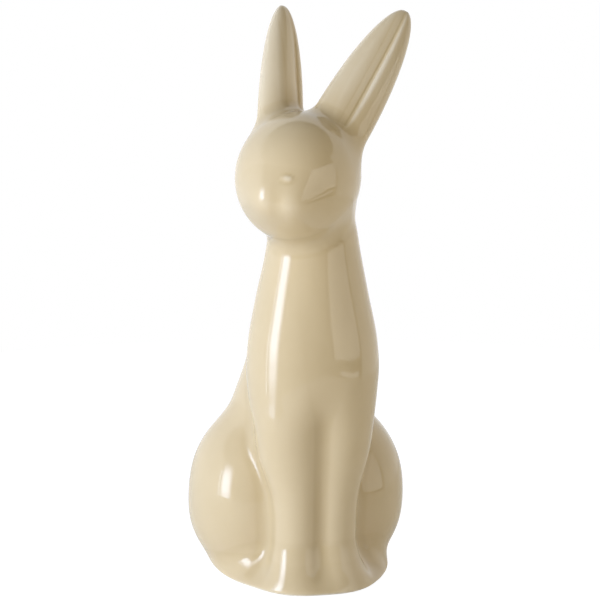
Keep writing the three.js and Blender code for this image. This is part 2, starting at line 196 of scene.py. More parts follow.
def body_form(p):
    rear = melt(trunk(p), mirrored_egg(p, *HIND_FOOT), FOOT_MELT)
    paws = egg_pair(p, *PAW, BETWEEN_PAWS_MELT, PAW_MIDDLE)
    front = melt(forequarters(p), paws, PAW_MELT)
    whole = melt(rear, front, crease_melt(p[:, 2]))
    return melt(whole, mirrored_egg(p, *SKIRT), SKIRT_MELT)


print("chest's half width, mm:", max(row[1] for row in FOREQUARTERS))

# %% [markdown]
# ## Head and ears
# The head is an egg turned 30 degrees to the rabbit's right and tipped a little, with soft cheeks
# and a small nose. Each ear is a long flat egg, half of which stands out of the head, with a
# shallow fold down its front: two sloping walls that meet in a crease inside a rolled rim. The
# right ear is twisted towards the left one, so its fold shows at a slant. The forms could be
# written straight into the figure's frame, but matrices carry points into the head's and the
# ears' own frames, where they are simple.

# %% Forms of the head
NECK_SEAM = 150
HEAD_PLACE = np.array([-8.7, -9.5, NECK_SEAM + 34.6])
HEAD_TO_RIGHT = 30
HEAD_TIP = 5
SKULL = (27.3, 30.9, 28.6)
# Columns: centre, radii
CHEEK = ((4.6, 11 - SKULL[1], -4.8), (8.5, 12.3, 8))
NOSE = ((3, 1 - SKULL[1], 4.9), (1.5, 0.8, 0.9))
BETWEEN_CHEEKS_MELT = 2.5
CHEEK_MELT = 8
NOSE_MELT = 1.8
NECK_MELT = 7


def turned(axis, degrees):
    return np.array(Matrix.Rotation(math.radians(degrees), 3, axis))


HEAD_TURN = turned("Z", -HEAD_TO_RIGHT) @ turned("Y", HEAD_TIP)


def head_form(p):
    q = (p - HEAD_PLACE) @ HEAD_TURN
    cheeks = egg_pair(q, *CHEEK, BETWEEN_CHEEKS_MELT)
    face = melt(egg(q, SKULL), cheeks, CHEEK_MELT)
    return melt(face, egg(q - NOSE[0], NOSE[1]), NOSE_MELT)


def neck_and_head(p):
    return melt(body_form(p), head_form(p), NECK_MELT)


print("middle of the head, mm:", HEAD_PLACE)

# %% Forms of the ears
EAR_SEAT = (12.7, 10.3, 19.8)
EAR_LEAN = 35
EAR_HALF_THICKNESS = 8
EAR_MELT = 6
FOLD_MIDDLE = 0.5
FOLD_REACH = 0.48
FOLD_MELT = 0.6
RIM = 1.2
RIM_GAIN = 0.5


class Ear:
    def __init__(self, side, splay, turn, length, width, crease, depth, walls, roll):
        self.length, self.half = length, width / 2
        self.crease, self.depth, self.roll = crease, depth, roll
        self.walls = [math.radians(wall) for wall in walls]
        seat = np.array([side * EAR_SEAT[0], EAR_SEAT[1], EAR_SEAT[2]])
        self.place = HEAD_PLACE + HEAD_TURN @ seat
        lean = turned("Y", side * splay) @ turned("X", -EAR_LEAN)
        self.turn = HEAD_TURN @ lean @ turned("Z", turn)

    def form(self, p):
        q = (p - self.place) @ self.turn
        leaf = egg(q, (self.half, EAR_HALF_THICKNESS, self.length))
        along = q[:, 2] / self.length
        taper = np.sqrt(np.maximum(1 - along**2, 0))
        fade = np.sqrt(np.maximum(1 - ((along - FOLD_MIDDLE) / FOLD_REACH) ** 2, 0))
        across = q[:, 0] - self.crease * taper
        up = -q[:, 1] - (EAR_HALF_THICKNESS - self.depth * fade) * taper
        right = up * math.cos(self.walls[0]) + across * math.sin(self.walls[0])
        left = up * math.cos(self.walls[1]) - across * math.sin(self.walls[1])
        rim = np.clip(RIM - RIM_GAIN * across, RIM, self.roll)
        return -melt(-leaf, -melt(right, left, FOLD_MELT), rim)


EARS = {
    "left_ear": Ear(
        side=1, splay=19, turn=0, length=65.5, width=27.5,
        crease=3.5, depth=2.2, walls=(27, 46), roll=3,
    ),
    "right_ear": Ear(
        side=-1, splay=14.5, turn=54, length=59, width=22,
        crease=5.5, depth=3.2, walls=(30, 18), roll=5,
    ),
}
for name, ear in EARS.items():
    print(f"{name} is seated at, mm:", ear.place.round(1))

# %% [markdown]
# ## Reading the surface
# A ray from inside a form crosses its surface once. Stepping outwards until the form turns
# positive and then halving the last step 18 times finds that crossing far more finely than a
# mesh needs, for a whole ring of rays at once. A grid of cubes would find the surface too, but
# rays lay the points in even rings. The form's slope at the crossing is the exact surface normal,
# so glossy reflections run across the joins of separate pieces without a kink.

# %% Rays, normals and bends
STEP = 1.5
FARTHEST = 120
HALVINGS = 18
SETTLE_ROUNDS = 6
UPWARDS = np.array([[0, 0, 1.0]])


def reach(form, origin, direction, offset=0.0):
    origin = np.broadcast_to(origin, direction.shape)
    far = np.full(len(direction), STEP)
    going = np.arange(len(direction))
    while len(going) and far[going[0]] < FARTHEST:
        inside = form(origin[going] + direction[going] * far[going, None]) < offset
        going = going[inside]
        far[going] += STEP
    near = far - STEP
    for _ in range(HALVINGS):
        middle = (near + far) / 2
        inside = form(origin + direction * middle[:, None]) < offset
        near = np.where(inside, middle, near)
        far = np.where(inside, far, middle)
    return origin + direction * far[:, None]


def slope(form, p, step=0.02):
    aside = np.eye(3) * step
    grad = np.stack([form(p + a) - form(p - a) for a in aside], axis=1)
    return grad / np.maximum(np.linalg.norm(grad, axis=1, keepdims=True), TINY)


def bend(form, p, step=1.2):
    aside = np.eye(3) * step
    total = sum(form(p + a) + form(p - a) for a in aside) - 6 * form(p)
    return total / step**2


def settle(form, p, height):
    for _ in range(SETTLE_ROUNDS):
        p = p - slope(form, p) * (form(p) - height)[:, None]
    return p


print("top of the head, mm:", reach(neck_and_head, HEAD_PLACE, UPWARDS)[0].round(2))

# %% [markdown]
# ## From rings to a mesh
# Every piece is a stack of rings with the same number of points, joined by quads. A stack either
# closes at both ends on a point or runs round on itself as the wall of a hollow casting does.
# Rows marked as skin get the form's own normals and a number for how the surface bends, which
# the glaze uses. The rest keeps ordinary smooth normals with sharp edges at its corners. A mesh
# cut from a finer grid would need many more faces for the same even gloss.

# %% Faces of a stack of rings


def ring_faces(rows, sides, closed):
    here = np.arange(rows * sides).reshape(rows, sides)
    above = np.roll(here, -1, axis=0) if closed else here[1:]
    below = here if closed else here[:-1]
    quads = np.stack([below, np.roll(below, -1, 1), np.roll(above, -1, 1), above], axis=-1)
    return quads.reshape(-1, 4).tolist()


def end_fans(rows, sides):
    first, last, top = rows * sides, rows * sides + 1, (rows - 1) * sides
    around = [(i, (i + 1) % sides) for i in range(sides)]
    return [(first, j, i) for i, j in around] + [(last, top + i, top + j) for i, j in around]


def facing_out(points, faces):
    a, b, c = [points[[face[k] for face in faces]] for k in range(3)]
    inside_out = np.einsum("ij,ij->", a, np.cross(b, c)) < 0
    return [face[::-1] for face in faces] if inside_out else faces


print("faces in a stack of 3 rings of 8 points:", len(ring_faces(3, 8, False) + end_fans(3, 8)))

# %% Build a piece from rings
SHARP_ANGLE = 40


def skin_normals(mesh, form, points, faces, bare):
    normals = np.empty(len(mesh.loops) * 3)
    mesh.corner_normals.foreach_get("vector", normals)
    normals = normals.reshape(-1, 3)
    on_skin = np.repeat(~np.array(bare), [len(face) for face in faces])
    corner_points = np.concatenate(faces)
    normals[on_skin] = slope(form, points)[corner_points[on_skin]]
    return normals


def piece(name, rings, skin_rows, form, materials, ends=None):
    rows, sides = len(rings), len(rings[0])
    points = np.concatenate(rings)
    faces = ring_faces(rows, sides, closed=ends is None)
    skin = np.repeat([row in skin_rows for row in range(rows)], sides)
    if ends is not None:
        points = np.vstack([points, ends])
        faces += end_fans(rows, sides)
        skin = np.append(skin, [skin[0], skin[-1]])
    faces = facing_out(points, faces)
    bare = [not skin[list(face)].all() for face in faces]
    mesh = bpy.data.meshes.new(name)
    mesh.from_pydata(to_frame(points), [], faces)
    mesh.polygons.foreach_set("use_smooth", [True] * len(faces))
    mesh.polygons.foreach_set("material_index", bare)
    mesh.set_sharp_from_angle(angle=math.radians(SHARP_ANGLE))
    mesh.normals_split_custom_set(skin_normals(mesh, form, points, faces, bare))
    bends = mesh.attributes.new("bend", "FLOAT", "POINT")
    bends.data.foreach_set("value", np.where(skin, bend(form, points), 0))
    for material in materials:
        mesh.materials.append(material)
    thing = bpy.data.objects.new(name, mesh)
    bpy.context.scene.collection.objects.link(thing)
    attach(thing, "root")
    print(f"{name}: {len(points)} points, {len(faces)} faces")
    return thing


# %% [markdown]
# ## Adding shader nodes
# Colours are written as sRGB hex values, as a colour picker shows them, and turned to the linear
# values that the renderer mixes. One small function adds any node with its settings, socket
# values and links, so that a material reads as a list of what is in it.

# %% Colour and node helpers


def colour(code):
    srgb = [int(code[i:i + 2], 16) / 255 for i in (0, 2, 4)]
    linear = [c / 12.92 if c <= 0.04045 else ((c + 0.055) / 1.055) ** 2.4 for c in srgb]
    return (*linear, 1.0)


def add_node(tree, kind, values=None, links=None, **settings):
    node = tree.nodes.new(kind)
    for name, value in settings.items():
        setattr(node, name, value)
    for socket, value in (values or {}).items():
        node.inputs[socket].default_value = value
    for socket, source in (links or {}).items():
        tree.links.new(source, node.inputs[socket])
    return node


def new_material(name):
    material = bpy.data.materials.new(name)
    material.use_nodes = True
    material.node_tree.nodes.clear()
    return material, material.node_tree


print("middle grey in linear light:", np.round(colour("808080"), 3))

# %% [markdown]
# ## Glossy beige glaze
# A lead-free transparent glaze stained beige is poured over the figure and fired to a glassy coat
# about 0.3 mm thick. It runs off convex edges, where the pale clay shows through, and gathers in
# the creases, where it looks deeper. The ears are painted paler as well: painted light that stands
# in for the light falling on their upturned fronts. A picture of all this could be wrapped round
# the figure. Here the bend of the surface and its height steer the mix, which stays right when a
# form changes. Very faint clouding and a long, shallow waviness in the normals keep the coat from
# looking like plastic.

# %% Glaze: where it is thin, and painted light on the ears
# Most values of a noise pattern lie between these two
NOISE_LOW, NOISE_HIGH = 0.3, 0.7
CLOUD_MM = 14
CLOUD_TINT = 0.03
CREASE_BEND, EDGE_BEND = -0.4, 0.8
# Between these heights the ears fade into painted light, a paler colour for the light that falls
# on them
EAR_FOOT_MM = 203
EAR_MIDDLE_MM = 228
EAR_PAINTED_LIGHT = 0.3

glaze, tree = new_material("beige_gloss_glaze_on_earthenware")
coords = add_node(tree, "ShaderNodeTexCoord")
clouds = add_node(
    tree, "ShaderNodeTexNoise",
    {"Scale": 1 / (CLOUD_MM * MM), "Detail": 3.0, "Roughness": 0.5},
    {"Vector": coords.outputs["Object"]},
)
cloud_tint = add_node(
    tree, "ShaderNodeMapRange",
    {"From Min": NOISE_LOW, "From Max": NOISE_HIGH, "To Min": -CLOUD_TINT, "To Max": CLOUD_TINT},
    {"Value": clouds.outputs["Fac"]},
)
surface_bend = add_node(tree, "ShaderNodeAttribute", attribute_name="bend")
run_off = add_node(
    tree, "ShaderNodeMapRange",
    {"From Min": CREASE_BEND, "From Max": EDGE_BEND},
    {"Value": surface_bend.outputs["Fac"]},
    interpolation_type="SMOOTHSTEP",
)
height = add_node(tree, "ShaderNodeSeparateXYZ", links={"Vector": coords.outputs["Object"]})
# Painted light: the glaze turns paler up the ears, standing in for the light on their upturned
# fronts
painted_ear_light = add_node(
    tree, "ShaderNodeMapRange",
    {"From Min": ORIGIN[2] + EAR_FOOT_MM * MM, "From Max": ORIGIN[2] + EAR_MIDDLE_MM * MM,
     "To Max": EAR_PAINTED_LIGHT},
    {"Value": height.outputs["Z"]},
    interpolation_type="SMOOTHSTEP",
)
# Faint clouding plus the painted light on the ears
clouding_and_ear_light = add_node(
    tree, "ShaderNodeMath",
    links={0: cloud_tint.outputs["Result"], 1: painted_ear_light.outputs["Result"]}, operation="ADD",
)
thinness_and_ear_light = add_node(
    tree, "ShaderNodeMath",
    links={0: run_off.outputs["Result"], 1: clouding_and_ear_light.outputs["Value"]},
    operation="ADD", use_clamp=True,
)
print(f"{glaze.name}: {len(tree.nodes)} nodes for its thinness")

# %% Glaze: colour and gloss
# Columns: how thin the glaze is plus the painted light on the ears, colour
GLAZE_TONES = [(0.0, "c4ae85"), (0.42, "d3bf9a"), (1.0, "e2d4ba")]
FOOT_LINE_LOW_MM, FOOT_LINE_HIGH_MM = 0.3, 1.4
FOOT_LINE_SHARE = 0.75
FOOT_LINE_COLOUR = "efe8d8"
WAVE_MM = 9
WAVE_DEPTH_MM = 0.4
GLAZE_IOR = 1.52
GLAZE_ROUGHNESS = 0.045

# Ramp from pooled to thin glaze, which also carries the painted light on the ears
depth_and_ear_light_colour = add_node(tree, "ShaderNodeValToRGB", links={"Fac": thinness_and_ear_light.outputs["Value"]})
depth_and_ear_light_colour.color_ramp.elements.new(GLAZE_TONES[1][0])
for stop, (position, tone) in zip(depth_and_ear_light_colour.color_ramp.elements, GLAZE_TONES):
    stop.position, stop.color = position, colour(tone)
foot_line = add_node(
    tree, "ShaderNodeMapRange",
    {"From Min": ORIGIN[2] + FOOT_LINE_LOW_MM * MM, "From Max": ORIGIN[2] + FOOT_LINE_HIGH_MM * MM,
     "To Min": FOOT_LINE_SHARE, "To Max": 0.0},
    {"Value": height.outputs["Z"]},
    interpolation_type="SMOOTHSTEP",
)
coat = add_node(
    tree, "ShaderNodeMix", {"B": colour(FOOT_LINE_COLOUR)},
    {"Factor": foot_line.outputs["Result"], "A": depth_and_ear_light_colour.outputs["Color"]},
    data_type="RGBA",
)
waves = add_node(
    tree, "ShaderNodeTexNoise",
    {"Scale": 1 / (WAVE_MM * MM), "Detail": 1.0, "Roughness": 0.4},
    {"Vector": coords.outputs["Object"]},
)
waviness = add_node(
    tree, "ShaderNodeBump",
    {"Strength": 0.06, "Distance": WAVE_DEPTH_MM * MM},
    {"Height": waves.outputs["Fac"]},
)
shader = add_node(
    tree, "ShaderNodeBsdfPrincipled",
    {"Roughness": GLAZE_ROUGHNESS, "IOR": GLAZE_IOR},
    {"Base Color": coat.outputs["Result"], "Normal": waviness.outputs["Normal"]},
)
add_node(tree, "ShaderNodeOutputMaterial", links={"Surface": shader.outputs["BSDF"]})
print(f"{glaze.name}: {len(tree.nodes)} nodes in all")

# %% [markdown]
# ## Bare earthenware
# The foot rim is wiped clean before firing so that it can't stick to the kiln shelf, and no glaze
# is poured inside. What shows there is biscuit-fired white earthenware: dry, chalky, with fine
# grog of about a third of a millimetre and faint sponge marks. Two noise patterns of those sizes
# draw both, with no picture to unwrap.

# %% Bare clay material
GROG_MM = 0.35
SPONGE_MM = 5
GRAIN_DEPTH_MM = 0.1
CLAY_TONES = [(NOISE_LOW, "d9cfbd"), (NOISE_HIGH, "efe9dd")]

bare_clay, tree = new_material("biscuit_fired_white_earthenware")
coords = add_node(tree, "ShaderNodeTexCoord")
grog = add_node(
    tree, "ShaderNodeTexNoise",
    {"Scale": 1 / (GROG_MM * MM), "Detail": 2.0},
    {"Vector": coords.outputs["Object"]},
)
sponge = add_node(
    tree, "ShaderNodeTexNoise",
    {"Scale": 1 / (SPONGE_MM * MM), "Detail": 4.0, "Roughness": 0.6},
    {"Vector": coords.outputs["Object"]},
)
tones = add_node(tree, "ShaderNodeValToRGB", links={"Fac": sponge.outputs["Fac"]})
for stop, (position, tone) in zip(tones.color_ramp.elements, CLAY_TONES):
    stop.position, stop.color = position, colour(tone)
grain = add_node(
    tree, "ShaderNodeBump",
    {"Strength": 0.35, "Distance": GRAIN_DEPTH_MM * MM},
    {"Height": grog.outputs["Fac"]},
)
shader = add_node(
    tree, "ShaderNodeBsdfPrincipled",
    {"Roughness": 0.9, "IOR": 1.5},
    {"Base Color": tones.outputs["Color"], "Normal": grain.outputs["Normal"]},
)
add_node(tree, "ShaderNodeOutputMaterial", links={"Surface": shader.outputs["BSDF"]})
print(f"{bare_clay.name}: {len(tree.nodes)} nodes")

# %% [markdown]
# ## Body casting
# Level rings around a spine line follow the skin from the neck to the foot. They lie closer
# together near the ground, and their points at the front, where the groove between the legs is.
# The foot edge is rounded, the underside is recessed inside its rim, and the drain hole leads
# into the hollow. At the neck a thin lip of glaze reaches up over the slip ring to meet the head.
# The hollow could be a shell of even offset, but slip fills narrow limbs, so its form has none
# below the elbow.

# %% Level rings around the spine
SIDES = 240
FRONT_BIAS = 0.4
CHEST = 98
# Columns: height, y of the spine
SPINE = [(0, SPINE_FOOT), (45, 20), (95, 12), (120, 5), (150, -1)]
spine_y = curve(SPINE, 1)


def full_turn(sides):
    return np.linspace(0, 2 * math.pi, sides, endpoint=False)


def unit_circle(turns):
    return np.stack([np.cos(turns), np.sin(turns), 0 * turns], axis=1)


turns = full_turn(SIDES)
level = unit_circle(turns - FRONT_BIAS * np.cos(turns))


def body_rings(form, heights, offset=0.0, insets=0.0):
    heights = np.asarray(heights, float)
    start = np.stack([0 * heights, spine_y(heights), heights], axis=1)
    out = np.tile(level, (len(heights), 1))
    drawn_in = np.repeat(insets * np.ones(len(heights)), SIDES)[:, None]
    points = reach(form, np.repeat(start, SIDES, axis=0), out, offset) - out * drawn_in
    return list(points.reshape(len(heights), SIDES, 3))


def body_ring(form, z, offset=0.0, inset=0.0, lift=0.0):
    return body_rings(form, [z], offset, inset)[0] + (0, 0, lift)


def hole_ring(radius, z):
    return np.array([0, SPINE_FOOT, z]) + level * radius


print("width at the chest, mm:", np.ptp(body_ring(body_form, CHEST)[:, 0]).round(2))

# %% Glazed body
WALL = 4.5
LIP = 0.7
SEAM_LINE = NECK_SEAM + 0.5
FINE_BELOW = 20
ROW, FINE_ROW = 1.0, 0.5
FOOT_EDGE = 2.5
EDGE_ROWS = 10
WIPED_ROWS = 3
FOOT_RIM = 4
RECESS = 1.2
SOFTENING = 0.4
FLOOR = 6
FLOOR_FILLET = 3
DRAIN_RADIUS = 10
INSIDE_ROWS = 30
ELBOW = 66
LIMB_CLOSING = 0.3
HOLLOW_MELT = 5


def hollow_form(p):
    closing = LIMB_CLOSING * np.maximum(ELBOW - p[:, 2], 0)
    return melt(trunk(p), forequarters(p) + closing, HOLLOW_MELT)


upper, lower = np.arange(NECK_SEAM, FINE_BELOW, -ROW), np.arange(FINE_BELOW, FOOT_EDGE, -FINE_ROW)
skin = body_rings(neck_and_head, [SEAM_LINE, *upper, *lower, FOOT_EDGE])
edge_turns = np.radians(np.linspace(0, 90, EDGE_ROWS))[1:]
edge_heights, edge_insets = 1 - np.sin(edge_turns), 1 - np.cos(edge_turns)
edge = body_rings(body_form, FOOT_EDGE * edge_heights, insets=FOOT_EDGE * edge_insets)
rim = FOOT_EDGE + FOOT_RIM
underside = [
    body_ring(body_form, 0, inset=rim - SOFTENING),
    body_ring(body_form, 0, inset=rim, lift=SOFTENING),
    body_ring(body_form, 0, inset=rim, lift=RECESS - SOFTENING),
    body_ring(body_form, 0, inset=rim + SOFTENING, lift=RECESS),
    hole_ring(DRAIN_RADIUS + SOFTENING, RECESS),
    hole_ring(DRAIN_RADIUS, RECESS + SOFTENING),
    hole_ring(DRAIN_RADIUS, FLOOR),
    body_ring(hollow_form, FLOOR + FLOOR_FILLET, -WALL, FLOOR_FILLET, -FLOOR_FILLET),
]
inside_heights = np.linspace(FLOOR + FLOOR_FILLET, NECK_SEAM, INSIDE_ROWS)
inside = body_rings(hollow_form, inside_heights, -WALL)
lip = [body_ring(neck_and_head, z, inset=LIP) for z in (NECK_SEAM, SEAM_LINE)]
body = piece(
    "glazed_body", [*skin, *edge, *underside, *inside, *lip],
    range(len(skin) + len(edge) - WIPED_ROWS), neck_and_head, [glaze, bare_clay],
)
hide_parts("body_casting")

# %% [markdown]
# ## Head casting
# The head's first ring is the body's own top ring, so the glaze runs on across the seam. From
# there rays from the middle of the head sweep up to the crown, close enough together to draw the
# cheeks and the small nose. Level rings as on the body would lie too far apart on the flat crown.
# The inside follows the same form one wall thickness in.

# %% Glazed head
HEAD_ROWS = 150
HEAD_INSIDE_ROWS = 24
SLIP_TOP = NECK_SEAM + 1
crown = HEAD_TURN @ np.array([0, 0, 1.0])


def head_rings(rows, offset):
    opening = body_ring(neck_and_head, SLIP_TOP, offset)
    start = opening - HEAD_PLACE
    start /= np.linalg.norm(start, axis=1, keepdims=True)
    angle = np.arccos(start @ crown)[:, None]
    share = (np.arange(1, rows) / rows)[:, None, None]
    out = (np.sin((1 - share) * angle) * start + np.sin(share * angle) * crown) / np.sin(angle)
    rings = reach(neck_and_head, HEAD_PLACE, out.reshape(-1, 3), offset).reshape(out.shape)
    top = reach(neck_and_head, HEAD_PLACE, crown[None], offset)[0]
    return [opening, *rings], top


outer, outer_top = head_rings(HEAD_ROWS, 0)
inner, inner_top = head_rings(HEAD_INSIDE_ROWS, -WALL)
head_lip = [body_ring(neck_and_head, z, inset=LIP) for z in (SEAM_LINE, SLIP_TOP)]
head = piece(
    "glazed_head", [*outer[::-1], skin[0], *head_lip, *inner],
    range(HEAD_ROWS + 1), neck_and_head, [glaze, bare_clay], ends=(outer_top, inner_top),
)
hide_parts("head_casting")

# %% [markdown]
# ## Ears and tail
# These are solid castings stuck to the head and rump with slip, and the glaze rounds each join
# off. They could be one mesh with the casting below, but each stays a piece of its own, as it was
# cast. The visible skin is the melted form, drawn as rays from inside the piece, and it runs out
# to the line where the melt ends, so its edge lies flush on the casting below. Underneath, the
# piece keeps clear of the slip layer that the frame already has.

# %% Helpers for a piece that sits on another
UNDER_CLEAR = 1.2
UNDER_SHARE = 0.7
EDGE_LIFT = 0.01
UNDER_ROWS = 8


def skin_edge(form, own, ray, melt_length, low, high):
    for _ in range(HALVINGS):
        middle = (low + high) / 2
        on_piece = own(reach(form, *ray(middle))) < melt_length
        low = np.where(on_piece, middle, low)
        high = np.where(on_piece, high, middle)
    return low


def under_rings(edge_ring, centre, seat, form):
    rings = []
    for share in np.linspace(1, 0, UNDER_ROWS + 1)[1:-1]:
        on_seat = settle(seat, centre + (edge_ring - centre) * share, 0)
        gap = np.clip(-UNDER_SHARE * form(on_seat), EDGE_LIFT / 2, UNDER_CLEAR)
        rings.append(on_seat + slope(seat, on_seat) * gap[:, None])
    return rings


# %% Glazed ears
EAR_SIDES = 128
EAR_ROOT = 8
EAR_TOP_RING = 0.9985
LEAF_ROWS = 90
ROOT_ROWS = 30
STEEPEST_DIP = 1.5
ear_turns = full_turn(EAR_SIDES)
for name, ear in EARS.items():
    def ear_skin(p):
        return melt(ear.form(p), neck_and_head(p), EAR_MELT)

    def ear_ray(dip, height=EAR_ROOT):
        dip, height, turn = np.broadcast_arrays(dip, height, ear_turns)
        none, flat = 0 * height, np.cos(dip)
        axis = np.stack([none, none, height], axis=-1).reshape(-1, 3)
        out = np.stack([np.cos(turn) * flat, np.sin(turn) * flat, -np.sin(dip)], axis=-1)
        return ear.place + axis @ ear.turn.T, out.reshape(-1, 3) @ ear.turn.T

    lowest = skin_edge(ear_skin, ear.form, ear_ray, EAR_MELT, 0.0, STEEPEST_DIP)
    shares = np.linspace(1, 0, ROOT_ROWS + 1)[:-1, None]
    root = reach(ear_skin, *ear_ray(shares * lowest)).reshape(-1, EAR_SIDES, 3)
    root[0] = settle(neck_and_head, root[0], EDGE_LIFT)
    tip = reach(ear_skin, ear.place, ear.turn[:, 2][None])[0]
    rise = EAR_TOP_RING * np.linalg.norm(tip - ear.place) - EAR_ROOT
    heights = EAR_ROOT + rise * np.sin(np.linspace(0, math.pi / 2, LEAF_ROWS))
    leaf = reach(ear_skin, *ear_ray(0.0, heights[:, None])).reshape(-1, EAR_SIDES, 3)
    seat_middle = settle(neck_and_head, root[0].mean(axis=0)[None], UNDER_CLEAR)[0]
    below = under_rings(root[0], seat_middle, neck_and_head, ear_skin)
    rings = [*below[::-1], *root, *leaf]
    glazed_ear = piece(
        f"glazed_{name}", rings, range(len(below), len(rings)), ear_skin,
        [glaze, bare_clay], ends=(seat_middle, tip),
    )
    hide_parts(name)

# %% Glazed tail
TAIL_SIDES = 96
TAIL_ROWS = 50
TAIL_MELT = 3
TAIL_HEIGHT = 23
TAIL_OUT = 2
TAIL_PLACE = np.array([0, rump_back(TAIL_HEIGHT) + TAIL_OUT, TAIL_HEIGHT])
TAIL_RADII = (10.5, 9, 11.5)
TAIL_NARROWEST, TAIL_WIDEST = 1.0, 2.6
BACKWARDS = np.array([[0, 1.0, 0]])
tail_turns = full_turn(TAIL_SIDES)


def tail_form(p):
    return egg(p - TAIL_PLACE, TAIL_RADII)


def tail_skin(p):
    return melt(tail_form(p), body_form(p), TAIL_MELT)


def tail_ray(polar):
    polar = polar * np.ones(TAIL_SIDES)
    x, z = np.cos(tail_turns) * np.sin(polar), np.sin(tail_turns) * np.sin(polar)
    return TAIL_PLACE, np.stack([x, np.cos(polar), z], axis=1)


widest = skin_edge(tail_skin, tail_form, tail_ray, TAIL_MELT, TAIL_NARROWEST, TAIL_WIDEST)
shares = np.linspace(1, 0, TAIL_ROWS + 1)[:-1]
dome = [reach(tail_skin, *tail_ray(widest * share)) for share in shares]
dome[0] = settle(body_form, dome[0], EDGE_LIFT)
tail_back = reach(tail_skin, TAIL_PLACE, BACKWARDS)[0]
tail_seat = settle(body_form, dome[0].mean(axis=0)[None], UNDER_CLEAR)[0]
below = under_rings(dome[0], tail_seat, body_form, tail_skin)
rings = [*below[::-1], *dome]
tail = piece(
    "glazed_tail", rings, range(len(below), len(rings)), tail_skin,
    [glaze, bare_clay], ends=(tail_seat, tail_back),
)
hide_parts("tail")

# %% [markdown]
# ## Slip joints
# The layers of slip that hold head, ears and tail are part of the frame and stay as they are,
# under the glaze. Slip is the casting clay itself, thinned with water, so it fires to the same
# pale biscuit with the streaks of the brush that laid it on. A distorted wave draws the streaks,
# as plain noise has no direction.

# %% Fired slip material
BRUSH_MM = 0.6
BRUSH_DEPTH_MM = 0.1
SLIP_TONES = ["d2c5ab", "e3d8c3"]

fired_slip, tree = new_material("brushed_and_fired_slip")
coords = add_node(tree, "ShaderNodeTexCoord")
streaks = add_node(
    tree, "ShaderNodeTexWave",
    {"Scale": 1 / (2 * math.pi * BRUSH_MM * MM), "Distortion": 6.0, "Detail": 2.0},
    {"Vector": coords.outputs["Object"]},
)
tones = add_node(tree, "ShaderNodeValToRGB", links={"Fac": streaks.outputs["Fac"]})
for stop, tone in zip(tones.color_ramp.elements, SLIP_TONES):
    stop.color = colour(tone)
relief = add_node(
    tree, "ShaderNodeBump",
    {"Strength": 0.3, "Distance": BRUSH_DEPTH_MM * MM},
    {"Height": streaks.outputs["Fac"]},
)
shader = add_node(
    tree, "ShaderNodeBsdfPrincipled",
    {"Roughness": 0.85, "IOR": 1.5},
    {"Base Color": tones.outputs["Color"], "Normal": relief.outputs["Normal"]},
)
add_node(tree, "ShaderNodeOutputMaterial", links={"Surface": shader.outputs["BSDF"]})
for name in ("neck_lute", "left_ear_lute", "right_ear_lute", "tail_lute"):
    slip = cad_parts[name]
    slip.data.materials.clear()
    slip.data.materials.append(fired_slip)
print(f"{fired_slip.name}: {len(tree.nodes)} nodes")

# %% [markdown]
# ## Drain plug
# The slip is poured out through the hole in the base, and a soft vinyl plug closes it. It is a
# turned shape, so a profile spun round an axis draws it: a thin flange with rounded edges and a
# dimple to press on, and a stem with a soft barb that grips the edge of the hole. Cylinders with
# bevelled edges could stand in for it, but one profile holds all its curves.

# %% Soft vinyl material
SHEEN_MM = 1.5
SCATTER_MM = 1.5
VINYL_TONES = ["dcd7cb", "e9e5da"]

soft_vinyl, tree = new_material("moulded_soft_vinyl")
coords = add_node(tree, "ShaderNodeTexCoord")
sheen = add_node(
    tree, "ShaderNodeTexNoise",
    {"Scale": 1 / (SHEEN_MM * MM), "Detail": 3.0},
    {"Vector": coords.outputs["Object"]},
)
tones = add_node(tree, "ShaderNodeValToRGB", links={"Fac": sheen.outputs["Fac"]})
for stop, tone in zip(tones.color_ramp.elements, VINYL_TONES):
    stop.color = colour(tone)
matt = add_node(
    tree, "ShaderNodeMapRange",
    {"To Min": 0.42, "To Max": 0.58},
    {"Value": sheen.outputs["Fac"]},
)
shader = add_node(
    tree, "ShaderNodeBsdfPrincipled",
    {"IOR": 1.53, "Subsurface Weight": 0.15, "Subsurface Scale": SCATTER_MM * MM},
    {"Base Color": tones.outputs["Color"], "Roughness": matt.outputs["Result"]},
)
add_node(tree, "ShaderNodeOutputMaterial", links={"Surface": shader.outputs["BSDF"]})
print(f"{soft_vinyl.name}: {len(tree.nodes)} nodes")

# %% Drain plug
PLUG_SIDES = 96
PLUG_FLANGE = 0.8
PLUG_EDGE = 0.3
CLEARANCE = 0.02


def turned_piece(name, profile, sides, centre, material):
    circle = unit_circle(full_turn(sides))
    rings = [circle * (radius, radius, 0) + (0, 0, z) + centre for radius, z in profile[1:-1]]
    ends = [np.add(centre, (0, 0, z)) for _, z in (profile[0], profile[-1])]
    # No row is skin, so every face takes the second material
    return piece(name, rings, [], body_form, [material, material], ends=ends)


bottom, top = RECESS - PLUG_FLANGE, RECESS - CLEARANCE
# Columns: radius, height
plug_profile = [
    (0, bottom + 0.35), (2.5, bottom + 0.33), (3.4, bottom + 0.2), (4.2, bottom + 0.04),
    (5, bottom), (12.4, bottom), (12.8, bottom + 0.08), (13, bottom + PLUG_EDGE),
    (12.9, RECESS - 0.1), (12.6, top), (9.5, top), (9.2, RECESS + 0.3), (9.2, 5.6), (9.3, 6.2),
    (9.65, 6.5), (9.6, 6.7), (9.1, 7.4), (8.6, 7.85), (8, 7.98), (0, 7.98),
]
plug = turned_piece(
    "drain_plug_moulding", plug_profile, PLUG_SIDES, (0, SPINE_FOOT, 0), soft_vinyl)
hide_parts("drain_plug")

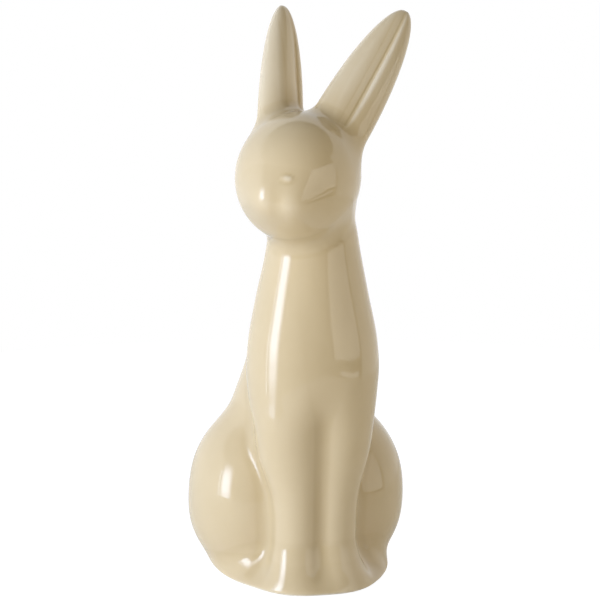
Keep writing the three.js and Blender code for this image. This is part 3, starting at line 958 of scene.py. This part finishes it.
# %% [markdown]
# ## Felt dots
# Four stick-on dots of pressed wool felt stand a third of a millimetre proud of the rim and keep
# the ceramic off the shelf. They are punched from sheet, so the cut edge stands straight and its
# corner is a little fuzzy. The outline wobbles slightly, as fibres give way to the punch. Strands
# of hair could draw the fibres, but at this size a rough bump under a soft sheen is enough.

# %% Felt material
FIBRE_MM = 0.5
NAP_DEPTH_MM = 0.25
FELT_TONES = [(NOISE_LOW, "6f6250"), (NOISE_HIGH, "a29480")]

wool_felt, tree = new_material("pressed_wool_felt")
coords = add_node(tree, "ShaderNodeTexCoord")
fibres = add_node(
    tree, "ShaderNodeTexNoise",
    {"Scale": 1 / (FIBRE_MM * MM), "Detail": 6.0, "Roughness": 0.7, "Distortion": 2.5},
    {"Vector": coords.outputs["Object"]},
)
tones = add_node(tree, "ShaderNodeValToRGB", links={"Fac": fibres.outputs["Fac"]})
for stop, (position, tone) in zip(tones.color_ramp.elements, FELT_TONES):
    stop.position, stop.color = position, colour(tone)
nap = add_node(
    tree, "ShaderNodeBump",
    {"Strength": 0.8, "Distance": NAP_DEPTH_MM * MM},
    {"Height": fibres.outputs["Fac"]},
)
shader = add_node(
    tree, "ShaderNodeBsdfPrincipled",
    {"Roughness": 0.95, "Sheen Weight": 0.4, "Sheen Roughness": 0.5},
    {"Base Color": tones.outputs["Color"], "Normal": nap.outputs["Normal"]},
)
add_node(tree, "ShaderNodeOutputMaterial", links={"Surface": shader.outputs["BSDF"]})
print(f"{wool_felt.name}: {len(tree.nodes)} nodes")

# %% Felt dots
FELT_SIDES = 72
FELT_PROUD = 0.3
FELT_WOBBLE = 0.006
SLOW_WAVES, FAST_WAVES = 5, 11
FELT_PLACES = {
    "felt_pad_front_left": (14, -5), "felt_pad_front_right": (-14, -5),
    "felt_pad_rear_left": (18, 42), "felt_pad_rear_right": (-18, 42),
}
under, top = -FELT_PROUD, RECESS - CLEARANCE
# Columns: radius, height
dot_profile = [
    (0, under), (3, under), (5, under + 0.01), (5.5, under + 0.06), (5.8, under + 0.16),
    (5.92, under + 0.35), (5.9, 0.5), (5.94, RECESS - 0.15), (5.8, top), (0, top),
]
for name, (x, y) in FELT_PLACES.items():
    dot = turned_piece(name.replace("pad", "dot"), dot_profile, FELT_SIDES, (x, y, 0), wool_felt)
    middle = Vector(to_frame((x, y, 0))[:2])
    for vertex in dot.data.vertices:
        off = Vector((vertex.co.x, vertex.co.y)) - middle
        turn = math.atan2(off.y, off.x)
        ripple = math.sin(SLOW_WAVES * turn + x) * math.sin(FAST_WAVES * turn + y)
        vertex.co.x, vertex.co.y = middle + off * (1 - FELT_WOBBLE * (1 + ripple))
    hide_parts(name)

# %% [markdown]
# ## Floor
# The figure stands on white paper that the photograph shows as plain white. A floor lit that
# bright would wash the glaze out from below. So the paper is white to the camera, dimmer where
# the glaze mirrors it, and plain matt paper for the light that it scatters, which keeps its
# shadow.

# %% White table
TABLE_RADIUS = 0.45
TABLE_SIDES = 96
TABLE_LIFT = 0.8
TABLE_SHEEN = 0.25
PAPER_GLOW = 1.22
table_mesh = bpy.data.meshes.new("white_table")
table_edge = unit_circle(full_turn(TABLE_SIDES)) * TABLE_RADIUS
table_mesh.from_pydata(table_edge, [], [range(TABLE_SIDES)])
table = bpy.data.objects.new("white_table", table_mesh)
bpy.context.scene.collection.objects.link(table)

white_paper, tree = new_material("white_paper_sweep")
path = add_node(tree, "ShaderNodeLightPath")
to_lens = add_node(
    tree, "ShaderNodeMath", {1: TABLE_LIFT}, {0: path.outputs["Is Camera Ray"]},
    operation="MULTIPLY",
)
to_glaze = add_node(
    tree, "ShaderNodeMath", {1: TABLE_SHEEN}, {0: path.outputs["Is Glossy Ray"]},
    operation="MULTIPLY",
)
lift = add_node(
    tree, "ShaderNodeMath",
    links={0: to_lens.outputs["Value"], 1: to_glaze.outputs["Value"]}, operation="MAXIMUM",
)
paper = add_node(tree, "ShaderNodeBsdfDiffuse", {"Color": colour("f4f4f2")})
glow = add_node(
    tree, "ShaderNodeEmission", {"Color": colour("ffffff"), "Strength": PAPER_GLOW})
mixed = add_node(
    tree, "ShaderNodeMixShader",
    links={0: lift.outputs["Value"], 1: paper.outputs["BSDF"], 2: glow.outputs["Emission"]},
)
add_node(tree, "ShaderNodeOutputMaterial", links={"Surface": mixed.outputs["Shader"]})
table_mesh.materials.append(white_paper)
print(f"{table.name}: {TABLE_RADIUS} m in radius")

# %% [markdown]
# ## Backdrop and room
# A white backdrop stands behind the figure and a dim room in front of it, and the glaze mirrors
# both. They could be built as walls, but the figure only needs their directions, so the world
# draws them: wide by the angle from behind, and lower at the sides than in the middle. The camera
# sees plain white, and matt surfaces get a faint, warm light from all around.

# %% White backdrop and dim room
CAMERA_TURN = -15
ROOM = 0.06
BACKDROP_TURN = 5
BACKDROP_EDGE = math.cos(math.radians(99))
BACKDROP_SIDE_TOP = 0.5
BACKDROP_TOP = 0.93
SOFT_EDGE = 0.02
backdrop_middle = math.radians(CAMERA_TURN + BACKDROP_TURN)
world = bpy.data.worlds.new("white_surround")
bpy.context.scene.world = world
world.use_nodes = True
tree = world.node_tree
tree.nodes.clear()
towards = add_node(tree, "ShaderNodeTexCoord")
behind = add_node(
    tree, "ShaderNodeVectorMath",
    {1: (-math.sin(backdrop_middle), math.cos(backdrop_middle), 0)},
    {0: towards.outputs["Generated"]}, operation="DOT_PRODUCT",
)
wide = add_node(
    tree, "ShaderNodeMapRange",
    {"From Min": BACKDROP_EDGE - SOFT_EDGE, "From Max": BACKDROP_EDGE + SOFT_EDGE},
    {"Value": behind.outputs["Value"]},
)
upward = add_node(tree, "ShaderNodeSeparateXYZ", links={"Vector": towards.outputs["Generated"]})
top_edge = add_node(
    tree, "ShaderNodeMapRange", {"To Min": BACKDROP_SIDE_TOP, "To Max": BACKDROP_TOP},
    {"Value": behind.outputs["Value"]},
)
below_top = add_node(
    tree, "ShaderNodeMath",
    links={0: top_edge.outputs["Result"], 1: upward.outputs["Z"]}, operation="SUBTRACT",
)
tall = add_node(
    tree, "ShaderNodeMapRange", {"From Min": -SOFT_EDGE, "From Max": SOFT_EDGE},
    {"Value": below_top.outputs["Value"]},
)
backdrop = add_node(
    tree, "ShaderNodeMath",
    links={0: wide.outputs["Result"], 1: tall.outputs["Result"]}, operation="MULTIPLY",
)
mirrored = add_node(
    tree, "ShaderNodeMapRange", {"To Min": ROOM, "To Max": 1.0},
    {"Value": backdrop.outputs["Value"]},
)
print(f"{world.name}: {len(tree.nodes)} nodes for what the glaze mirrors")

# %% What each kind of ray meets
FILL = 0.25
FILL_TINT = (1.0, 0.91, 0.68, 1.0)
path = add_node(tree, "ShaderNodeLightPath")
seen = add_node(
    tree, "ShaderNodeMath",
    links={0: path.outputs["Is Glossy Ray"], 1: path.outputs["Is Transmission Ray"]},
    operation="MAXIMUM",
)
lit = add_node(
    tree, "ShaderNodeMix", {"A": FILL},
    {"Factor": seen.outputs["Value"], "B": mirrored.outputs["Result"]},
)
shown = add_node(
    tree, "ShaderNodeMix", {"B": 1.0},
    {"Factor": path.outputs["Is Camera Ray"], "A": lit.outputs["Result"]},
)
plain = add_node(
    tree, "ShaderNodeMath",
    links={0: path.outputs["Is Camera Ray"], 1: seen.outputs["Value"]}, operation="MAXIMUM",
)
tint = add_node(
    tree, "ShaderNodeMix", {"A": FILL_TINT, "B": colour("ffffff")},
    {"Factor": plain.outputs["Value"]}, data_type="RGBA",
)
sky = add_node(
    tree, "ShaderNodeBackground",
    links={"Color": tint.outputs["Result"], "Strength": shown.outputs["Result"]},
)
add_node(tree, "ShaderNodeOutputWorld", links={"Surface": sky.outputs["Background"]})
print(f"{world.name}: {len(tree.nodes)} nodes in all")

# %% [markdown]
# ## Camera
# The photograph was taken from a little above the figure and to its right, with a long lens that
# keeps upright lines nearly upright. A short lens close by would make the head too large. The
# picture is slid sideways and up instead of turning the camera, which would tilt those lines.

# %% Camera
CAMERA_RISE = 12.6
CAMERA_DISTANCE = 1.56
LENS_MM = 212
SENSOR_MM = 36
SHIFT_X, SHIFT_Y = -0.0196, 0.0085
AIM_HEIGHT = 125
AIM = Vector(to_frame((0, 0, AIM_HEIGHT)))


def direction(turn, rise):
    a, e = math.radians(turn), math.radians(rise)
    return Vector((math.sin(a) * math.cos(e), -math.cos(a) * math.cos(e), math.sin(e)))


camera_data = bpy.data.cameras.new("product_camera")
camera_data.lens = LENS_MM
camera_data.sensor_width = SENSOR_MM
camera_data.shift_x, camera_data.shift_y = SHIFT_X, SHIFT_Y
camera = bpy.data.objects.new("product_camera", camera_data)
camera.location = AIM + direction(CAMERA_TURN, CAMERA_RISE) * CAMERA_DISTANCE
camera.rotation_euler = (AIM - camera.location).to_track_quat("-Z", "Y").to_euler()
bpy.context.scene.collection.objects.link(camera)
bpy.context.scene.camera = camera
print(f"{camera.name}: {CAMERA_DISTANCE} m away, {LENS_MM} mm lens")

# %% [markdown]
# ## Lamps
# Glazed ware is lit for what the glaze mirrors. One tall strip of light draws the crisp line down
# the chest, and a window with its sill shows faintly on the other side. Large soft lamps that the
# glaze doesn't mirror add the rest of the light. Fewer lamps could light the figure as well, but
# then each of them would also draw its shape on the glaze.

# %% A panel of cloth lit from behind
CLOTH_MIDDLE = 0.5


def panel(name, turn, rise, distance, width, height, power, soft_edge, tint):
    data = bpy.data.lights.new(name, "AREA")
    data.shape = "RECTANGLE"
    data.size, data.size_y = width, height
    data.energy, data.color = power, tint
    data.use_nodes = True
    tree = data.node_tree
    tree.nodes.clear()
    on_cloth = add_node(tree, "ShaderNodeTexCoord")
    place = add_node(tree, "ShaderNodeSeparateXYZ", links={"Vector": on_cloth.outputs["UV"]})
    fades = []
    for axis in ("X", "Y"):
        to_edge = add_node(
            tree, "ShaderNodeMath", {1: CLOTH_MIDDLE}, {0: place.outputs[axis]},
            operation="PINGPONG",
        )
        fades.append(add_node(
            tree, "ShaderNodeMapRange", {"From Max": soft_edge},
            {"Value": to_edge.outputs["Value"]}, interpolation_type="SMOOTHSTEP",
        ))
    strength = add_node(
        tree, "ShaderNodeMath",
        links={0: fades[0].outputs["Result"], 1: fades[1].outputs["Result"]},
        operation="MULTIPLY",
    )
    glow = add_node(tree, "ShaderNodeEmission", links={"Strength": strength.outputs["Value"]})
    add_node(tree, "ShaderNodeOutputLight", links={"Surface": glow.outputs["Emission"]})
    lamp = bpy.data.objects.new(name, data)
    lamp.location = AIM + direction(CAMERA_TURN + turn, rise) * distance
    lamp.rotation_euler = (AIM - lamp.location).to_track_quat("-Z", "Y").to_euler()
    bpy.context.scene.collection.objects.link(lamp)
    print(f"{name}: {width} x {height} m, {power} W")
    return lamp


# %% Lamps
# Tints are strengths of red, green and blue light
COOL = (0.88, 1.0, 1.26)
WARM = (1.0, 0.94, 0.8)
WHITE = (1, 1, 1)
CRISP = 0.01
# Columns: name, turn from the camera, rise, distance, width, height, power, soft edge, tint
LAMPS = [
    ("strip_light", -61, 5, 1.0, 0.56, 0.96, 15, 0.4, COOL),
    ("edge_light", -76, 0, 1.0, 0.03, 0.56, 0.3, 0.05, COOL),
]
NOT_MIRRORED = [
    ("soft_front", -51, 29, 1.4, 1.2, 1.2, 9.3, CRISP, COOL),
    ("soft_left", -95, 10, 1.0, 0.5, 0.6, 1, CRISP, COOL),
    ("soft_right", 20, -5, 1.0, 0.5, 0.6, 2.9, CRISP, WARM),
    ("soft_back_right", 125, 8, 1.0, 0.5, 0.6, 2.8, CRISP, WHITE),
    ("soft_back_left", -150, 12, 1.0, 0.5, 0.6, 2.4, CRISP, WHITE),
]
ONLY_MIRRORED = [
    ("right_window", 59, 9, 1.0, 0.86, 0.62, 2.2, CRISP, WHITE),
    ("window_sill", 59, -13, 1.0, 0.6, 0.04, 0.12, CRISP, WHITE),
]
for row in LAMPS:
    panel(*row)
for row in NOT_MIRRORED:
    panel(*row).visible_glossy = False
for row in ONLY_MIRRORED:
    panel(*row).visible_diffuse = False

# %% [markdown]
# ## Finish
# The picture is shown with plain sRGB tones, because other views would grey the white ground.

# %% Finish
scene = bpy.context.scene
scene.view_settings.view_transform = "Standard"
